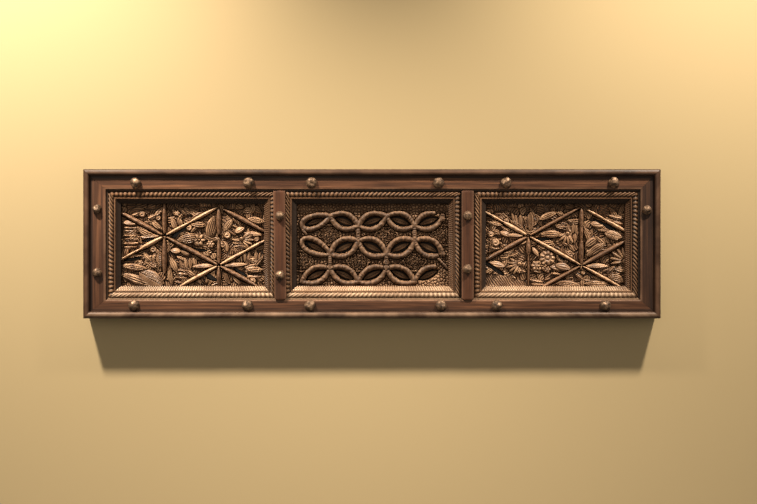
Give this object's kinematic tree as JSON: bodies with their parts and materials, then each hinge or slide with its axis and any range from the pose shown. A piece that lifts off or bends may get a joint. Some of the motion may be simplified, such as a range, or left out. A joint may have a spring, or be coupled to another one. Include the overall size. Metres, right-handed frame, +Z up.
{
  "type": "carved wooden wall screen",
  "caption": "Long low carved wooden screen for hanging on a wall: rounded rim, nailed rails, rope mouldings round star-lattice and interlaced-loop boards",
  "frame": {"origin": "the middle of the flat back, which lies on the wall", "axes": "X along the screen, Y into the wall with the front facing -Y, Z up"},
  "size_m": [1.2, 0.0572, 0.31],
  "materials": {
    "rim_wood": "dark red-brown wood, waxed and worn on the bead",
    "rail_wood": "red-brown wood with long grain, old wax",
    "strap_wood": "red-brown wood, rubbed",
    "moulding_wood": "golden brown carved wood, dark in the grooves",
    "carved_wood": "golden brown carved wood, near black in the hollows, rubbed pale on the crests",
    "nail_brass": "hammered, dull, with brown patina"
  },
  "bodies": {
    "root": {"rim_top": "rim_wood", "rim_bottom": "rim_wood", "rim_left": "rim_wood", "rim_right": "rim_wood", "rail_top": "rail_wood", "rail_bottom": "rail_wood", "stile_left": "rail_wood", "stile_right": "rail_wood", "post_left": "rail_wood", "strap_left": "strap_wood", "post_right": "rail_wood", "strap_right": "strap_wood", "moulding_left_top": "moulding_wood", "moulding_left_bottom": "moulding_wood", "moulding_left_left": "moulding_wood", "moulding_left_right": "moulding_wood", "panel_left": "carved_wood", "moulding_centre_top": "moulding_wood", "moulding_centre_bottom": "moulding_wood", "moulding_centre_left": "moulding_wood", "moulding_centre_right": "moulding_wood", "panel_centre": "carved_wood", "moulding_right_top": "moulding_wood", "moulding_right_bottom": "moulding_wood", "moulding_right_left": "moulding_wood", "moulding_right_right": "moulding_wood", "panel_right": "carved_wood", "nail_top_1": "nail_brass", "nail_bottom_1": "nail_brass", "nail_top_2": "nail_brass", "nail_bottom_2": "nail_brass", "nail_top_3": "nail_brass", "nail_bottom_3": "nail_brass", "nail_top_4": "nail_brass", "nail_bottom_4": "nail_brass", "nail_top_5": "nail_brass", "nail_bottom_5": "nail_brass", "nail_top_6": "nail_brass", "nail_bottom_6": "nail_brass", "nail_left_1": "nail_brass", "nail_left_2": "nail_brass", "nail_right_1": "nail_brass", "nail_strap_left_1": "nail_brass", "nail_strap_left_2": "nail_brass", "nail_strap_right_1": "nail_brass", "nail_strap_right_2": "nail_brass"}
  },
  "joints": []
}
